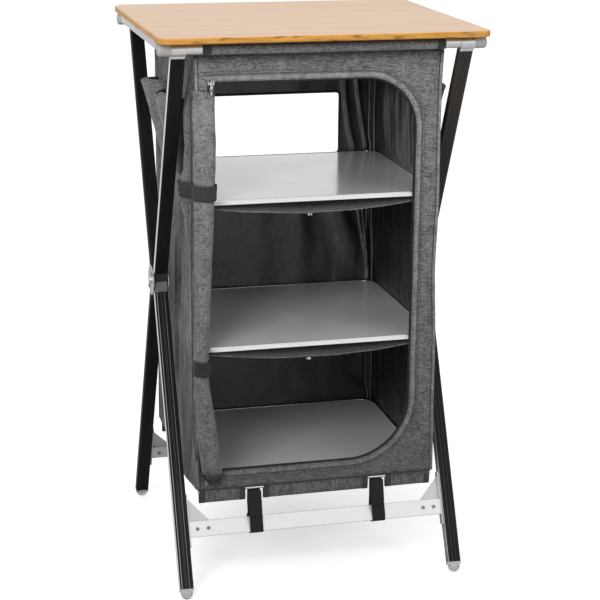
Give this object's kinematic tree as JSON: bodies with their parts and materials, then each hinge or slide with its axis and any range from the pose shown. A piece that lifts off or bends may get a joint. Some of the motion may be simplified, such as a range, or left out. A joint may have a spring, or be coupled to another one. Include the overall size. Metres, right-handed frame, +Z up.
{
  "type": "camping cupboard",
  "caption": "Folding camping cupboard: bamboo top on a scissor frame of dark tubes, with a hung fabric cabinet, rolled-up door, shelves and side pockets.",
  "frame": {"origin": "on the ground under the middle of the four feet", "axes": "+Z up, -Y towards the door, +X to the right seen from the door"},
  "size_m": [0.6, 0.5366, 1.04],
  "materials": {
    "bamboo": "pressed bamboo board, clear satin lacquer",
    "dark_anodised": "bronze-black anodised extrusion with fine lengthwise grooves",
    "silver_aluminium": "satin silver anodised",
    "bright_steel": "bright plated",
    "black_plastic": "moulded, fine texture",
    "grey_plastic": "moulded, fine texture",
    "cap_plastic": "moulded end cap, satin",
    "clear_plastic": "milky clear plastic",
    "heather_fabric": "dark grey heather polyester, black coated inside",
    "coated_lining": "black coated lining, sheen",
    "black_webbing": "woven polyester webbing",
    "zip_tape": "woven tape with a nylon coil",
    "zip_metal": "cast zip slider, plated",
    "shelf_grey": "board faced with satin silver-grey foil",
    "shelf_rim_metal": "bright edge strip"
  },
  "bodies": {
    "pivots": {"pivot_bolts": "bright_steel"},
    "frame_a": {"leg_a_upper_left": "dark_anodised", "leg_a_upper_right": "dark_anodised", "leg_a_lower_left": "dark_anodised", "leg_a_lower_right": "dark_anodised", "hub_a": "black_plastic", "hub_plates": "bright_steel", "front_top_tube": "silver_aluminium", "front_tube_caps": "cap_plastic", "front_tube_clamps": "silver_aluminium", "rear_crossbar": "silver_aluminium", "rear_bar_brackets": "silver_aluminium", "rivets_a": "bright_steel", "rear_feet": "clear_plastic", "front_sleeve": "heather_fabric"},
    "frame_b": {"leg_b_upper_left": "dark_anodised", "leg_b_upper_right": "dark_anodised", "leg_b_lower_left": "dark_anodised", "leg_b_lower_right": "dark_anodised", "hub_b": "grey_plastic", "rear_top_tube": "silver_aluminium", "rear_tube_caps": "cap_plastic", "rear_tube_clamps": "silver_aluminium", "front_crossbar": "silver_aluminium", "front_bar_brackets": "silver_aluminium", "rivets_b": "bright_steel", "front_feet": "clear_plastic", "rear_sleeve": "heather_fabric"},
    "tabletop": {"tabletop": "bamboo", "side_rails": "silver_aluminium"},
    "carcass": {"side_panel_left": "heather_fabric", "side_panel_right": "heather_fabric", "top_panel": "heather_fabric", "floor_panel": "heather_fabric", "side_pockets": "heather_fabric", "sling_middle": "coated_lining", "sling_top": "coated_lining"},
    "front_wall": {"front_panel": "heather_fabric", "door_roll": "heather_fabric", "roll_bands": "black_webbing", "door_zip": "zip_tape", "front_hem": "heather_fabric", "front_rod": "silver_aluminium", "front_straps": "black_webbing"},
    "rear_wall": {"rear_panel": "heather_fabric", "rear_hem": "heather_fabric", "rear_rod": "silver_aluminium", "rear_straps": "black_webbing"},
    "board_bottom": {"shelf_board_bottom": "shelf_grey", "shelf_rim_bottom": "shelf_rim_metal"},
    "board_middle": {"shelf_board_middle": "shelf_grey", "shelf_rim_middle": "shelf_rim_metal"},
    "board_top": {"shelf_board_top": "shelf_grey", "shelf_rim_top": "shelf_rim_metal"},
    "sling_slider_middle": {"sling_slider_middle": "zip_metal"},
    "sling_slider_top": {"sling_slider_top": "zip_metal"},
    "zip_slider_upper": {"zip_slider_upper": "zip_metal"},
    "zip_slider_lower": {"zip_slider_lower": "zip_metal"},
    "zip_pull_upper": {"zip_pull_upper": "zip_metal"},
    "zip_pull_lower": {"zip_pull_lower": "zip_metal"}
  },
  "joints": [
    {"name": "frame_fold", "type": "hinge", "parent": "pivots", "child": "frame_a", "pos_m": [0, 0, 0.547], "axis": [-1, 0, 0], "range_deg": [0, 20], "deforming": ["side_panel_left", "side_panel_right", "top_panel", "floor_panel", "side_pockets", "sling_middle", "sling_top", "front_panel", "door_roll", "roll_bands", "door_zip", "front_straps", "rear_straps", "front_sleeve", "rear_sleeve"]},
    {"name": "frame_b_fold", "type": "hinge", "parent": "pivots", "child": "frame_b", "pos_m": [0, 0, 0.547], "axis": [1, 0, 0], "range_deg": [0, 20]},
    {"name": "tabletop_lift", "type": "slide", "parent": "pivots", "child": "tabletop", "axis": [0, 0, 1], "range_m": [0, 0.42]},
    {"name": "carcass_rise", "type": "slide", "parent": "pivots", "child": "carcass", "axis": [0, 0, 1], "range_m": [0, 0.0491]},
    {"name": "front_wall_close", "type": "slide", "parent": "carcass", "child": "front_wall", "axis": [0, 1, 0], "range_m": [0, 0.1475]},
    {"name": "rear_wall_close", "type": "slide", "parent": "carcass", "child": "rear_wall", "axis": [0, -1, 0], "range_m": [0, 0.1475]},
    {"name": "board_bottom_out", "type": "slide", "parent": "carcass", "child": "board_bottom", "axis": [0, -1, 0], "range_m": [0, 0.42]},
    {"name": "board_middle_out", "type": "slide", "parent": "carcass", "child": "board_middle", "axis": [0, -1, 0], "range_m": [0, 0.42]},
    {"name": "board_top_out", "type": "slide", "parent": "carcass", "child": "board_top", "axis": [0, -1, 0], "range_m": [0, 0.42]},
    {"name": "sling_zip_middle", "type": "slide", "parent": "carcass", "child": "sling_slider_middle", "axis": [0, 1, 0], "range_m": [0, 0.37]},
    {"name": "sling_zip_top", "type": "slide", "parent": "carcass", "child": "sling_slider_top", "axis": [0, 1, 0], "range_m": [0, 0.37]},
    {"name": "door_zip_upper", "type": "slide", "parent": "front_wall", "child": "zip_slider_upper", "axis": [1, 0, 0], "range_m": [0, 0.28]},
    {"name": "pull_upper_swing", "type": "hinge", "parent": "zip_slider_upper", "child": "zip_pull_upper", "pos_m": [-0.2, -0.208, 0.9535], "axis": [-1, 0, 0], "range_deg": [0, 150]},
    {"name": "door_zip_lower", "type": "slide", "parent": "front_wall", "child": "zip_slider_lower", "axis": [1, 0, 0], "range_m": [0, 0.27]},
    {"name": "pull_lower_swing", "type": "hinge", "parent": "zip_slider_lower", "child": "zip_pull_lower", "pos_m": [-0.213, -0.208, 0.2245], "axis": [-1, 0, 0], "range_deg": [0, 80]}
  ],
  "couplings": [
    {"joint": "frame_b_fold", "follows": "frame_fold", "ratio": 1},
    {"joint": "tabletop_lift", "follows": "frame_fold", "m_per_rad": 1.2},
    {"joint": "carcass_rise", "follows": "frame_fold", "m_per_rad": 0.1405},
    {"joint": "front_wall_close", "follows": "frame_fold", "m_per_rad": 0.4225},
    {"joint": "rear_wall_close", "follows": "frame_fold", "m_per_rad": 0.4225},
    {"joint": "board_bottom_out", "follows": "frame_fold", "m_per_rad": 1.2},
    {"joint": "board_middle_out", "follows": "frame_fold", "m_per_rad": 1.2},
    {"joint": "board_top_out", "follows": "frame_fold", "m_per_rad": 1.2},
    {"joint": "sling_zip_middle", "follows": "frame_fold", "m_per_rad": 0.41},
    {"joint": "sling_zip_top", "follows": "frame_fold", "m_per_rad": 0.41}
  ]
}
